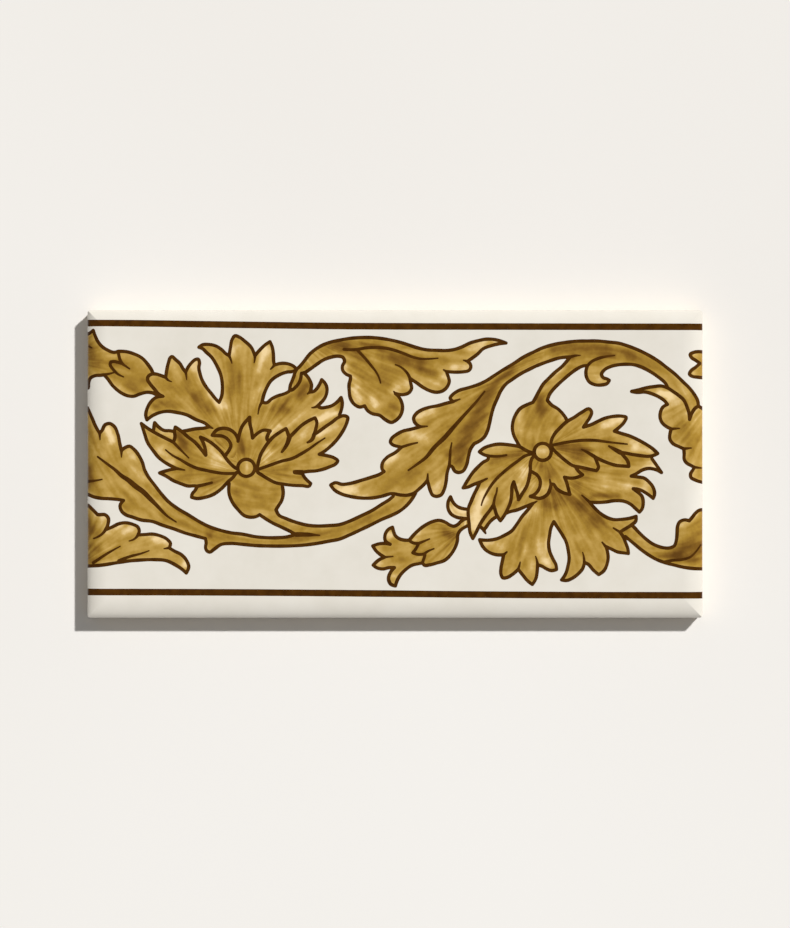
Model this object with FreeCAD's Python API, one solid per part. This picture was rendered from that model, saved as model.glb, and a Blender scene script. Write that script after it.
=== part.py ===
# A pressed and fired border tile, 6 by 3 inches, made as one solid.
# The face is cushioned: flat in the middle, with a rounded shoulder that falls to plain upright edges.
# The back has a flat rim and rows of shallow tapered pockets, which key the tile to its adhesive.
# Frame: millimetres, face up. The origin is the middle of the back, +X runs along the border
# and +Z points out of the face.
import FreeCAD, Part
import math
import os
from FreeCAD import Vector

# Overall size
TILE_LENGTH = 152.0
TILE_WIDTH = 76.0
TILE_THICKNESS = 8.0

# Cushioned shoulder round the face: how far it reaches in, and how far it falls
SHOULDER_REACH = 5.0
SHOULDER_DROP = 2.2

# Edges
CORNER_RADIUS = 0.8
BACK_CHAMFER = 0.6

# Keyed back: a plain rim, and pockets with ribs of one width between them
KEY_RIM = 6.0
KEY_RIB = 2.6
KEY_COLUMNS = 12
KEY_ROWS = 6
KEY_DEPTH = 1.1
KEY_DRAFT = 0.5
KEY_CORNER_RADIUS = 1.5

LENGTHWISE = Vector(1, 0, 0)
CROSSWISE = Vector(0, 1, 0)
UP = Vector(0, 0, 1)


def quarter_ellipse(centre, end_of_long_axis, end_of_short_axis):
    """The quarter of an ellipse that runs from the end of its long half axis to that of its short one."""
    ellipse = Part.Ellipse(end_of_long_axis, end_of_short_axis, centre)
    return Part.ArcOfEllipse(ellipse, 0, math.pi / 2).toShape()


def cushion_section(span, across):
    """The upright section of a tile that spans this much along the direction across."""
    half = span / 2
    flat_half = half - SHOULDER_REACH
    foot = TILE_THICKNESS - SHOULDER_DROP

    def point(along, height):
        return across * along + UP * height

    def straight(start, finish):
        return Part.LineSegment(start, finish).toShape()

    def shoulder(side):
        return quarter_ellipse(
            point(side * flat_half, foot),
            point(side * half, foot),
            point(side * flat_half, TILE_THICKNESS),
        )

    edges = [
        straight(point(-half, 0), point(half, 0)),
        straight(point(half, 0), point(half, foot)),
        shoulder(1),
        straight(point(flat_half, TILE_THICKNESS), point(-flat_half, TILE_THICKNESS)),
        shoulder(-1),
        straight(point(-half, foot), point(-half, 0)),
    ]
    return Part.Face(Part.Wire(Part.__sortEdges__(edges)))


def centred_run(section, direction, distance):
    """The section swept the whole distance, half of it each way from the origin."""
    section.translate(direction * (-distance / 2))
    return section.extrude(direction * distance)


def rounded_block(length, width, height, radius):
    """A block that stands on the back's plane, centred on the Z axis, with round upright corners."""
    block = Part.makeBox(length, width, height, Vector(-length / 2, -width / 2, 0))
    upright = [edge for edge in block.Edges if abs(edge.tangentAt(edge.FirstParameter).z) > 0.5]
    return block.makeFillet(radius, upright)


def cushioned_blank():
    """The tile before its back is worked. The two shoulders meet on a mitre at each corner."""
    shoulders_along = centred_run(cushion_section(TILE_WIDTH, CROSSWISE), LENGTHWISE, TILE_LENGTH)
    shoulders_across = centred_run(cushion_section(TILE_LENGTH, LENGTHWISE), CROSSWISE, TILE_WIDTH)
    block = rounded_block(TILE_LENGTH, TILE_WIDTH, TILE_THICKNESS, CORNER_RADIUS)
    return block.common(shoulders_along).common(shoulders_across)


def break_back_arris(blank):
    """Chamfers the edge all round the back."""
    arris = [edge for edge in blank.Edges if edge.BoundBox.ZMax < BACK_CHAMFER / 2]
    return blank.makeChamfer(BACK_CHAMFER, arris)


def pocket_outline(length, width, radius, depth):
    """A pocket's outline at that depth in the back, with round corners."""
    block = rounded_block(length, width, KEY_DEPTH, radius)
    block.translate(UP * depth)
    lowest = min(block.Faces, key=lambda face: face.CenterOfMass.z)
    return lowest.OuterWire


def key_pocket(length, width):
    """One tapered pocket as a solid, centred on the Z axis. Its mouth is in the back's plane."""
    mouth = pocket_outline(length, width, KEY_CORNER_RADIUS, 0)
    floor_radius = KEY_CORNER_RADIUS - KEY_DRAFT / 2
    floor = pocket_outline(length - 2 * KEY_DRAFT, width - 2 * KEY_DRAFT, floor_radius, KEY_DEPTH)
    return Part.makeLoft([mouth, floor], True, True)


def key_pockets():
    """The whole grid of pockets, which fills the back inside its rim."""
    pitch_along = (TILE_LENGTH - 2 * KEY_RIM + KEY_RIB) / KEY_COLUMNS
    pitch_across = (TILE_WIDTH - 2 * KEY_RIM + KEY_RIB) / KEY_ROWS
    master = key_pocket(pitch_along - KEY_RIB, pitch_across - KEY_RIB)
    pockets = []
    for column in range(KEY_COLUMNS):
        for row in range(KEY_ROWS):
            pocket = master.copy()
            x = (column - (KEY_COLUMNS - 1) / 2) * pitch_along
            y = (row - (KEY_ROWS - 1) / 2) * pitch_across
            pocket.translate(Vector(x, y, 0))
            pockets.append(pocket)
    return Part.makeCompound(pockets)


def border_tile():
    """The finished tile: the blank with its arris broken and its back keyed."""
    return break_back_arris(cushioned_blank()).cut(key_pockets())


os.makedirs("parts", exist_ok=True)
border_tile().exportStep("parts/border_tile.step")
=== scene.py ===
# A cushioned border tile, face up, with an acanthus scroll painted between two brown bands.
# Lengths are millimetres until the mesh is made, and then metres.
# Outlines are in face millimetres: x from the tile's left edge, y from its lower edge.
import math

import bpy
import numpy as np
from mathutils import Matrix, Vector, noise
from mathutils.geometry import delaunay_2d_cdt


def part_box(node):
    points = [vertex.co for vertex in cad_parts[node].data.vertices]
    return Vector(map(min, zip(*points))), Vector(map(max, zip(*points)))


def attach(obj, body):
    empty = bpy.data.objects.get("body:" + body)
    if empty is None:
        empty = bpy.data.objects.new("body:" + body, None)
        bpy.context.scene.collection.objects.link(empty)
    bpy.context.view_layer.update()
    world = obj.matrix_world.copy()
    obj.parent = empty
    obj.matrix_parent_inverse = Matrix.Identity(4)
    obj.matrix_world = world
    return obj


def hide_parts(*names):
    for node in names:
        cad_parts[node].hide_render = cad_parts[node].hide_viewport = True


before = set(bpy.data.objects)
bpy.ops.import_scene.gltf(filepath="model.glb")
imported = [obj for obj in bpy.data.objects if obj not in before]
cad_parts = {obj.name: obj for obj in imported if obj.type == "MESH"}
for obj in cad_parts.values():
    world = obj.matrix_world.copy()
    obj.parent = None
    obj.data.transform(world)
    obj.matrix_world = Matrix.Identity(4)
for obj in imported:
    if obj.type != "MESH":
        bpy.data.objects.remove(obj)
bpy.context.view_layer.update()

MM = 0.001
NODE = "border_tile"
LOW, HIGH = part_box(NODE)
LENGTH = (HIGH[0] - LOW[0]) / MM
WIDTH = (HIGH[1] - LOW[1]) / MM
THICKNESS = (HIGH[2] - LOW[2]) / MM
MIDDLE = (LENGTH / 2, WIDTH / 2)

# The block's own shape, with the same values as the solid.
SHOULDER_REACH = 5.0
SHOULDER_DROP = 2.2
CORNER_RADIUS = 0.8
BACK_CHAMFER = 0.6
KEY_RIM = 6.0
KEY_RIB = 2.6
KEY_COLUMNS = 12
KEY_ROWS = 6
KEY_DEPTH = 1.1
KEY_DRAFT = 0.5
KEY_CORNER_RADIUS = 1.5

# The end of the glaze on the sides: its mean height, how thick it is, the pitch, seed and size of its
# two wanderings, and its rolled lip as steps inwards and upwards. Below it, the last step of the
# biscuit above the chamfer.
GLAZE_END = 4.0
GLAZE_LIP = 0.12
GLAZE_WANDERINGS = ((0.06, 1.3, 0.8), (0.4, 5.1, 0.25))
GLAZE_ROLL = ((0, 0.45), (0.02, 0.15), (0.6 * GLAZE_LIP, 0), (GLAZE_LIP, -0.06))
FOOT_STEP = 0.2

# The line round each form, what the widths of the lines inside it are multiplied by, and the bands.
LINE_WIDTH = 0.88
LINE_SPREAD = 1.35
BAND_WIDTH = 1.65

# How much a drawn line swells, how much a band does, and the pitch and seed of the swelling.
LINE_WOBBLE = 0.10
BAND_WOBBLE = 0.02
WOBBLE_PITCH = 0.5
WOBBLE_SEED = 3.7

# The wash in a form: its middle tone, and how strong the light beside an outline and the dark beside
# a line are, with how far they reach.
MIDDLE_TONE = 0.515
RIM_LIGHT, RIM_REACH = 0.12, 1.3
VEIN_DARK, VEIN_REACH = 0.08, 0.6

# How far one form's brush marks are from the next form's in the pattern that they come from.
BRUSH_OFFSET = 50.0

# The print's two bands, which sit a little askew on the tile.
BANDS = [
    "-1,72.8 0,72.8 38,72.35 60,72.07 76,71.98 100,71.93 152,71.85 153,71.85",
    "-1,6.4 0,6.4 38,6.3 76,6.0 95,5.8 152,5.6 153,5.6",
]

# The scroll, from the back of the painting to its front. In an outline, * marks a corner and the
# words between brackets have no line along them. Each of the lines starts with its widths. Each of
# the shades starts with its strength and its reach: below 0 darker, above 0 lighter. The brush marks
# fan out from a place, or wrap round it. A form is as much lighter than the rest as its light says.
# The dark shades that sit on the very left edge, at x near 0, in bud_left, stem_main and leaf_low_left,
# are partly painted shade: they darken the paint where the left shoulder turns away from the sun, on top
# of the print's own tone.
SCROLL = """
form bud_left light 0.02 fan -6,64
outline ( -1,70.2 ) 0,70.1 1.5,71* 1.9,69.9 2.5,68.5 3.7,67 5.1,66.1 6.8,65.55 7.7,65.8* 9.5,65.75
  11.5,65.2 13.5,64.2 15,62.6 16,61.1 16.5,59.8 ( 18,58 18,56 ) 17.3,55.1 16.3,55.5 15,55.7 13,55.25
  11.5,54.7 10,54.85 8.7,55.4 7.3,56.4 6.1,57.6 5.2,58.9 4.2,60* 3.5,59.9 2,59.8 0.8,59.2 0.3,58
  0.2,56.8 ( -1,56 )
lines 0.6>0.6>0.3 7.7,65.8 7.9,64.6 8.2,63.6 8.8,62.7 9.6,62.1 10.5,61.5
  0.5>0.6>0.6 8.4,62.8 7.6,63.1 6.6,63.3 5.9,63.2
  0.6>0.6>0.3 5.9,63.2 5.7,62.6 6.4,61.4 7.6,60.2 9,59.5  0.6>0.3 4.2,60 5.2,60.2 6.8,60.6
  0.4>0.3 0.5,67 1.1,66.7
shades -0.25@2 0,67 2,63  0.12@1.2 6,64.5  -0.1@1.4 7,62.5  0.06@1.5 8,58  -0.2@1.6 10.5,57.5 13.5,57
form bud_right fan 156,62
outline ( 153,65.7 ) 152,65.7 151,65.75 149.9,65.6 148.85,65 149.2,64.25 150.2,63.6 151.3,62.85*
  150.3,61.95 148.95,60.9 148.65,60.2 149.3,59.65 150.5,59.45 152,59.35 ( 153,59.35 )
shades 0.25@0.8 149.8,64.8  0.25@0.8 149.8,60.3  -0.3@0.9 152,62.7
form first_back_low fan 34,42
outline 16.4,46.4* 16.7,48.2* 17.5,47.3 19,46.3 20.6,46.2 22,45.9 24.3,46.2 26.9,46.7 29.1,46.9
  30.1,47.2* ( 34,45 34,40 20,40 )
shades 0.25@1 18.5,45.8 21,45  -0.2@1 26,45.8 29,46
form first_back light 0.05 fan 38,38
outline 14.8,48.9* 14.5,50 14.8,51.6 15.9,53.5 17,54.4 18.7,54.7* 17.5,55.4 16.7,56.4 15.55,57.8
  14.95,58.8 15,59.4 16,60.2 17,60.2 18.2,59.85 19.4,59.4* 19.7,61.3 20.15,63.2 20.6,64.3 20.9,64.5
  21.8,63.8 23,62.7 23.7,61.5 24.35,60.7* 25,62 25.9,63.1 26.8,63.8 27.4,63.9 27.75,63.1 27.6,61.8
  27.9,60.2 28.5,58.5 29.4,57 30.6,55.5 31.8,54 32.6,53.2* 33.25,54.9 33.4,57.3 33,60 32,62.3 30.7,64.4
  29.4,65.6 28.6,66.4 27.6,66.8* 28.5,67.4 30,67.5 31.6,67.2 33.2,66.25 34.3,65.2 35.05,64.75* 35.4,66.8
  35.8,68.7 36.5,69.65 37.6,69.3 38.95,68.3 40.65,66.6 41.2,65.4 41.45,64.75* 42.6,66.1 43.9,67.35
  45.15,68.2* 45.7,66.9 46,65 46.05,63.4 46.25,62.4* 47.6,62.8 49.2,62.8 50.7,62.3 51.8,61.4* 51,60.9
  49.2,60.65 47,59.75 45.5,58.65 44.2,56.5 43.5,54.6 43.2,53.3* 44.2,53.1 45.6,54.1 47,54.8 48.6,55.3
  49.5,55.7 50.2,56.3* ( 51.8,58 ) 52.7,60.3 53.2,60.6* 54.2,59.8 55,58.6 55.4,57.5 55.3,56.6 55.1,55.8*
  55.9,55.9 56.7,56.6 57.4,57.7 57.9,58.8* 58.7,58 59.2,56.8 59.1,55.3 58.5,54 57.6,53 56.9,52.3*
  57.6,51.9 59,52 60.2,52.3 61.5,53.1 62.7,54.4* 63,53.1 62.8,51.5 62.3,50.1* ( 55,42 45,38 30,38
  30.9,46.9 ) 30.1,47.2* 29.2,48 27,48.9 24.4,50.2 22.2,50.7 19.8,51 18,50.7 16.3,50
lines 0.6>0.2 18.7,54.7 19.1,54.6  0.6>0.2 19.4,59.4 20,58.7 20.9,58.3
  0.6>0.2 24.35,60.7 24.5,59.8 24.6,58.8  0.6>0.25 35.05,64.75 35.5,63.7 35.75,62.9
  0.6>0.25 41.45,64.75 41.4,63.9 41.25,63  0.6>0.3 46.25,62.4 45.8,61.9 45.3,61.4
  0.6>0.25 43.2,53.3 42.7,52.4 42.2,50.3  0.6>0.3 55.1,55.8 54.4,55.3
  0.6>0.3 56.9,52.3 56.2,52 55.5,51.9  0.6>0.3 30.1,47.2 31,46.8
shades -0.15@1.5 24,57.5 26,55  -0.15@1.5 24.5,60  -0.25@2 27.5,54 29.5,51  0.32@1.1 26.8,62.8 26,61.5
  0.35@1.3 30.5,55 33.5,52  -0.2@2 36.5,61.5 37,57  -0.25@1.8 48.5,54.5 46,52  0.25@1.2 43,57 45.5,54.3
  -0.3@1.3 49,51.5  -0.4@1.4 53.6,57.5 52.3,55  0.2@0.9 53.4,59.7  0.25@1.2 36.8,67 36,65
  0.36@1.4 44,65.8 42.5,61.5  -0.25@1 42.4,57.6  0.4@0.8 45.3,45.5 47.5,47.2  0.25@1.2 50,48 55.5,50.5
  0.5@1.2 57.5,49 61,50.5  -0.3@0.9 62.6,53  -0.22@1.4 17,52.8 22.5,52  0.12@1.2 38.8,57 38.8,53
  -0.12@1.2 30,66.6  0.15@1 57.5,56.2
form leaf_top fan 48,72
outline 50,56.2* 50.2,57.5 50.6,58.5 51,59.5 51.3,60.5 51.8,61.4 52.6,62.2 53.6,63.4 54.9,65.05
  57.05,66.75 59.7,67.95 62.3,68.55 64.9,69 67.6,69.2 70.2,69.2 72.8,68.95 75.6,68.45 77.4,68 79.3,67.4
  81.4,66.7 83.7,66.2 86.4,66.05 88.7,66 90.6,66.25 92.4,66.85 94.5,67.85 96.4,68.4 98.5,68.8
  100.3,68.75 101.9,68.4 103.4,67.85* 101.6,67.65 99.8,67.2 97.7,66.4 96.4,65.15 94.8,63.95 93.9,63.35*
  94.6,62.6 94.65,61.6 94.1,61 92.9,60.75 91.1,60.65 88.7,60.8* 89.05,59.8 89.4,58.4 88.85,57 87.7,56
  86.1,55.7 84.5,56.1 82.7,57.05 81.1,58.2 79.7,59.1* 79.9,57.9 80.1,56.6 79.5,55.65 77.9,55.1
  76.1,55.4* 77.2,54.2 77.75,52.9 77.85,51.6 77.35,50 76.2,48.75 75.2,48.25 73.6,48.95 72.3,49.95
  70.2,50.5 69.3,51.1 68.5,52.35* 67.3,52.05 66,52.7 65,54.2 64.7,56.1 64.66,57.6 65,59 65,59.7*
  63.9,60.2 63.1,61.1 63,62.1 63.55,63.4 63.1,64.35 62,64.6 60.2,64.35 58.4,63.7 56.5,62.45 54.9,61.3
  53.8,60.6 52.9,60.4* 52.8,59.5 52.6,58.7 52.1,57.7 51.4,56.9 50.4,56.2
lines 0.6>0.6>0.6>0.3 63.4,66.3 66,66.2 68.9,66.65 71.5,66.75 74.1,66.5 76.1,66 78.2,65.25 80.05,64.5
  82.4,63.95 84.5,63.95 86.6,64.1  0.6>0.5>0.3 66.9,65.9 68.7,64 70.1,62.3 71.4,60.6 72.1,59.2 72.45,58
  0.6>0.3 79.7,59.1 79.1,60.3 78,61.5 76.9,62.2 76.1,62.5  0.6>0.3 93.9,63.35 92.9,63.6
  0.6>0.3 88.7,60.8 87.95,61.25  0.5>0.3 76.1,55.4 75.7,55.9
shades -0.35@1.8 60,67 64,67.5  -0.2@1.5 68,67.9 72,67.7  -0.15@1.4 66.5,65.5 68.5,63
  -0.22@1.6 73,65 78,63.2 82,62.5  -0.2@1.3 82.5,61.5 85.5,60.5  -0.13@1.5 72,60 73.5,57  0.15@1 55,63.5
  0.3@0.9 63.9,62  0.2@1.3 66,58.8  0.4@1.3 66.4,56.5 67.2,54  0.4@1.1 70.3,53.8 71,52.5
  -0.12@1.3 74.5,51 76.5,52  -0.2@0.9 75.5,49.8  0.42@1.3 76.5,57.2 78.5,57.5
  0.22@1.2 83,58.3 86.5,58 88.3,59.5  0.28@1.1 90.3,62.2 94.3,62.3  0.3@1.2 94.5,66.3 98,68
  0.3@1 101,68.2
form stem_main wrap 48,63
outline ( -1,53.5 ) 0,51.9 1.1,49.6 2.1,47.3 3.1,45.6* 3.7,46.3 4.5,47.7 5.6,48 6.6,47.4 7.6,45.4 8.1,43
  8.5,41.3* 8.9,41.7 9.7,42.2 10.5,42.4 11.5,41.7 12.6,40.4 13.7,38.3 14.2,36.6 15.1,34.9 16.6,32.9
  18.3,30.7 20,28.8 22.3,27.05 25,25.45 27.6,23.85 30.15,22.55 32.7,21.7 35.4,21.05 38.6,20.65 41.3,20.1
  43.9,19.85 46.5,19.8 49.2,20 51.5,20.6* 49.9,21.5 47.8,22.5 45.7,23.5 43.6,24.8 42.6,25.5* 42.05,25.15
  40.7,24.85 38.95,25.2 37.2,26.8 35.85,28.6 35.05,30.7 35.05,33.2 ( 36,37 42,37 48,34 ) 48.2,32.7
  48.4,30.5 48,28.9 47.2,27.6 46.65,26.7* 47.3,25.45 49.2,24.5 51.8,23.55 54.4,22.9 57.05,22.7 59.7,22.8
  62.3,23.05 64.9,23.95 67.6,25.2 70.2,26.45 72.8,28.1 74.7,29.3 75.6,30.1 ( 79,33 82,33 ) 81.1,30.85
  80.05,29.15 78.7,27.6 77.2,26.4 75.3,25.4 72.8,24.35 70.2,23.05 67.6,21.8 64.9,20.55 62.3,19.45
  59.7,18.95 57.05,18.45 53.1,17.95 49.2,17.75 45.2,17.75 41.3,17.9 38.6,18.15 35.4,18.4 33,18.1 31.4,17
  30.2,16.25 29.6,16.55 29.25,17.3 29.4,18.6 29.2,19.6* 27,20.2 24.4,20.9 21.4,22 18.6,22.9 16.2,23.8
  13.3,24.2 11.2,24.9 9.5,25.5 8.45,26.5 8.15,27.8 9,29* 8.5,29.1 5.9,29.4 3.3,29.55 1.6,29.9 0.1,30.5 (
  -1,30.8 )
lines 0.6>0.25 3.1,45.6 3.2,44  0.6>0.25 8.5,41.3 8.5,39.7
  0.35>0.6>0.95>0.95>0.6>0.3 2.6,39.8 5,38 7,36.5 8.4,35.2 10.2,34 12,32.5 13.8,31.2 15.6,29.4 17.1,27.9
  18.8,26.1 20,25 21.2,24.2 22,23.7  0.6>0.3 0,33.7 2,33.9 3.7,34.2
  0.9>0.8>0.3 51.5,20.6 54,20.6 57.4,20.4
shades -0.3@1.2 0.3,36.5 0.3,33  0.14@2.2 4.8,34.2  0.2@1.6 3.5,39.8  0.42@1 5.2,46.5 6.2,43.5
  0.3@1 9.7,41 11,39.5  0.22@0.9 9.5,38.5 14,33.9  0.15@1 6,37.8 12,32.5 18,27.2
  -0.2@0.7 17.5,31.6 21.5,27.8 26.5,24.3 31,21.8  0.15@0.9 8,33.5 13,29.5 17,26
  -0.12@1.1 9.5,30.8 11.5,29.3  0.15@1 11,26 14,25.2  -0.18@1.4 36.5,30.5 36.8,28.3  0.15@1.2 41.3,34.3
  -0.12@1.1 42,30.8  -0.12@1.2 46.5,31  -0.35@1 30,20.2  -0.12@0.9 31,19.9 37,19.6 45,18.9 52,19
  0.12@0.9 54,22  -0.2@1 50,20.3 54,20.2 60,21.2  -0.14@1.1 62,21.8 70,24.6 78,28.6
form leaf_low_left light 0.09 fan -4,12
outline ( -1,28.6 ) 0.2,27.8 1.5,26.6 2.6,25.5* 3.4,25.5 4.2,25.55 5.2,24.8 5.2,23.2 4.6,21.8* 6.1,22.4
  7.7,23.2 9.6,23.5 11.3,23.1 12.6,22.4 12.9,21.4 12.6,20.5* 14.3,20.6 16.2,20.7 18,20.3 19.8,19.4
  20.6,18.4 20.3,17.3* 21.6,16.5 23.2,15.7 24.5,14.3 25.1,12.6 24.5,11.1* 23.6,11.9 21.8,13.1 19.7,14.1
  16.4,14.4 13.3,14.3 9.8,14 7.2,13.6 3.3,13 0,12.8 ( -1,12.8 )
lines 0.6>0.3 4.6,21.8 3.8,20.8 2.6,20 1.6,19.6  0.6>0.25 12.6,20.5 11.7,19.5 10.4,19
  0.6>0.25 20.3,17.3 19,17.1  0.6>0.5>0.25 1.5,13.6 3,14.6 4.5,15.6 6,16.5 8.2,17.7
  0.6>0.5>0.25 7.8,14.1 9.8,14.9 11,15.3 13,15.8 15.3,16.6
shades -0.35@1.3 0,14.5 1.5,14  -0.4@1.6 0,24 1.2,21.5  -0.25@1.2 0,18 2.5,17  -0.15@1 5.3,18.8
  0.2@1.1 8.5,21.5 11,21.3  0.3@1.1 17,19 19.3,18.7  0.25@0.9 3.5,24.8  0.1@1.2 9,18.3 12,17.8
  0.3@0.9 24.2,13.2  -0.05@1 20,16.3
form bud_low light 0.03 fan 93,22
outline 94,24.6 93.2,24.4 92.3,23.85 91.4,23 90.5,22.65 89.6,22.9 88.5,23.6 86.9,24.1 85.3,23.8
  83.7,23.05 82.2,22 80.8,20.7 79.5,19.2* 78.5,19.2 77.2,19.5 76.1,20.3 75.6,21.5 75.4,22.4* 74.4,21.9
  73.6,20.7 73.6,19.1 74.8,18.2* 73.6,18.4 72.05,18.3 70.5,17.8* 71.3,16.6 72.3,15.7 73.4,15* 72.3,14.5
  70.6,13.05* 71.5,12.4 73.1,12.1 74.4,12.4 75.9,12.45* 74.9,11.3 74.4,9.6 74.9,8.4 76.1,7.9* 76.6,9.4
  77.4,10.7 78.7,12 80.3,13.05 81.9,13.4 82.8,13.6* 83.2,13.05 84.5,13.1 86.4,13.6 88.2,14.2 89.8,15.7
  90.8,17.3 91.4,19.1 91.5,20.5 91.9,21.35 92.7,22.1 93.7,22.65 94.6,23.1 ( 96,24 95,25 )
lines 0.6 79.5,19.2 80.3,18.6 81.6,18.4  0.6>0.3 81.8,18.4 84.5,19.5  0.6 81.8,18.3 81.1,17 80.4,16.1
  0.6 80.4,16.1 81.6,15.7 83.2,15.8  0.6>0.3 83.2,15.8 83.7,16.2 85.6,17.1
  0.6 83.4,15.6 83.2,14.9 82.8,13.7  0.5>0.3 73.4,15 75.5,15.2
shades -0.35@1.3 88.5,21.3 90.6,20.3  0.25@0.9 93.2,23.4  -0.1@1.2 84,22.5 87,22.8
  0.14@1.2 82.8,17.7 85.5,19  0.15@1 81,19.5 82,21  0.15@1.2 77.5,17.5 79.5,17.3  0.35@0.9 74.8,20.3
  0.25@1 71.9,17.3  0.3@0.9 72.3,13.4  0.3@0.9 75.7,10.3  -0.12@1.2 78,14.2  -0.12@1.4 89.8,18.5
form sprig light 0.3 wrap 93,29
outline 89.7,29.9* 90.3,28.6 91.4,27.5 92.7,27 94,26.8 ( 96,26 96,24 ) 93.7,24.5 92.7,24.6 91.1,24.9
  89.8,25.7 89.1,27 89.1,28.6
shades -0.2@1 89.8,28.3
form arch light -0.04 wrap 125,42
outline ( 109.6,65.3 ) 110.6,65.85 112,66.5 113.6,67.05 115.7,67.6 118.05,68 120.7,68.3 123.3,68.35
  125.9,68.35 128.6,68.1 131.2,67.8 133.8,67 136.2,66.05 138.6,64.85 140.9,63.45 143.05,61.8 145.2,60.1
  147,58.35 148.7,56.7 150,55 150.8,53.4 150.9,52.3* ( 150,49 ) 148.7,49* 148.6,50.3 148.05,52.1
  147.3,53.7 145.9,55 144.6,55.9 143.3,56.75* 142.8,57.8 140.9,59.5 138.8,60.9 136.7,61.95 134.9,62.5
  133.05,62.6 130.9,62.45 129.1,62 127.6,61.15 126.95,60.1 127.4,59.3 128.3,59 128.9,58.65* 128.4,57.9
  127,57.5 125.4,57.55 124,58.2 123.3,59.3 123.1,60.8 123.5,62.25* 122.5,62.2 120.9,61.45 119.1,60.15
  117.3,58.6 115.4,56.8 114.1,55.1 113.6,53.7* 114.6,52.6 116.2,51.6 117.4,50.4 118.4,48.8 ( 118,44
  112,40 ) 107.9,41.4 106.9,42.2 106.1,43.5 105.3,45.1 104.95,46.9 105.2,48.8 105.9,50.4 106.9,51.7
  108.5,52.6 110,53.2* 110.6,54.2 111.6,56.1 112.7,57.9 113.8,59 115.4,60.55 117.3,62.15 119.2,64.4*
  116.5,64.15 114.1,63.4 112,62.65 110.9,62.2 ( 109.8,62 )
lines 0.6>0.5>0.25 119.2,64.4 120.3,64.7 121.7,64.8
  0.6>0.6>0.3 123.5,62.25 124.5,63.25 126.2,64.05 128.3,64.55 130.2,64.8
shades -0.28@1.5 115,66.5 121,67.2 128,66.8  -0.2@1.3 124,65.3 129.5,65  -0.2@1.4 134,65.2 139,62.8
  0.12@1.2 143,60.3 147.5,55.5  0.28@1.2 125,60.5 126,59  0.25@1 115,59.3 117.3,61.5
  -0.3@0.9 119.6,64.3  -0.35@1.4 111.4,54.5 112.2,50.8  0.3@1.4 107,50 107,46.5
  0.18@2 110,45.5 114.5,45.5  0.3@1.2 117,49
form leaf_mid light 0.03 fan 122,68
outline ( 113,65.6 ) 111.6,66.25* 109.5,65.3 107.4,64.2 105.6,63 103.7,61.85 101.9,60.75 100.3,59.7
  98.7,58.65 96.9,57.75 95.05,57.1 93.5,56.65 91.9,56.2 90.3,55.2 89.6,54.3 90.3,53.4* 88.7,53 86.6,52.4
  84.5,52 82.7,51.4 81.2,50.4 80.6,49.4 80.85,48.3 81.5,47.6 82.2,47.2* 80.05,46.6 77.9,46.1 76.4,45.3
  75.1,44.2 74.85,43.4 75.4,42.75 76.4,42.4 77.6,42.15* 76.1,40.85 74,39.6 73,38.45 72.75,37.4 72.8,36.8
  73.3,36.15* 72.3,35.5 70.2,34.75 67.6,33.95 64.9,33.2 62.8,33 61.3,33.4 60.1,32.8* 61,31.65 62.8,30.6
  64.9,30 67.6,29.6 70.2,29.6 72.8,30.05 75.2,30.7 77.4,30.35 79,30.3 80.6,30.75 81.9,31.8 83.2,33
  84,34* 84.35,32.6 84.75,31.3 85.3,30.3 86.2,30 87.4,30.4 88.05,31.5 88.6,33.6 88.85,35.7 89.4,37.6*
  90,37.4 90.8,36.2 91.6,35.9 92.7,36.2 93.6,37.6 94.1,39.7 94.65,41.7 95.6,43.05* 96.9,43.7 97.9,44.5
  98.8,46.1 99.3,47.9 99.75,50 100.35,52.1 101.25,54.2 102.2,56.2 103.5,57.85 105.05,58.95 106.9,60.2
  109,61.3 111.4,62.45* ( 111.8,64 )
lines 0.6>0.3 90.3,53.4 92,54  0.6>0.3 82.2,47.2 84,47.3  0.6>0.5>0.3 77.6,42.15 79.8,42.85 81.5,43.25
  0.6>0.3 84,34 84.1,35.55  0.6>0.5>0.3 89.4,37.6 89.55,39.4 89.65,41.2 90,43.2
  0.35>0.6>0.85>0.75>0.35 98.1,55.9 96.4,53.75 94.5,51.6 92.4,49.3 90.3,46.9 88.2,44.5 85.8,42.2
  83.5,39.5 81.4,37.9 79.3,36.45
shades -0.34@2.1 92.2,39.2 92.3,43.5 94.8,47.3 97,51.5 98.8,55  -0.35@1.4 100.3,57 102,59.3 104.5,61.2
  -0.15@1.2 104,61 111.5,65  -0.15@1 94.8,44 93.5,41.5  0.35@1.3 82.3,49.6 85,50.8
  0.3@1.4 80.5,45.3 83.5,44  0.38@1.3 74.3,38.5 76,40.2  0.35@1.2 62,32 66.5,31.4  0.12@1.2 70,31.8
  0.18@1.2 86.3,32 86.8,35  -0.1@1.5 75,34.5 80,35  -0.12@1.3 93.5,55  -0.2@1 88.6,41
form stem_right light -0.06 wrap 142,40
outline ( 132.6,23.7 ) 134.4,22.9 136.2,21.1 137.8,19.6 139.4,18.4 140.9,17.7 142.5,17.3 143.8,17.3
  144.9,17.8 145.4,19.1 145.6,20.9 145.7,22.5 146.2,23.7 147.3,24.2 148.6,24* 149.4,24.9 150.2,25.9
  151.2,26.6 152,26.7 ( 153,26.7 153,12.1 ) 152,12.1 149.6,12.2 147.3,12.5 144.9,13.05 142.5,13.7
  140.4,14.5 138.6,15.55 136.7,16.9 134.9,18.4 132.8,20.1 ( 130.6,21.9 )
lines 0.6>0.5>0.3 142.5,13.8 144.4,14.2 146.7,14.4 148.8,15 150.4,16.5 151.5,18
shades -0.3@1.6 145.5,16 148,17.5 151,18  -0.22@1.1 143,15.6 150,14.3  0.3@1.1 147.3,22.8 150.5,25.6
  0.22@0.9 134.5,21.1 138.3,17.9
form leaf_right light 0.08 fan 158,58
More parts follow.
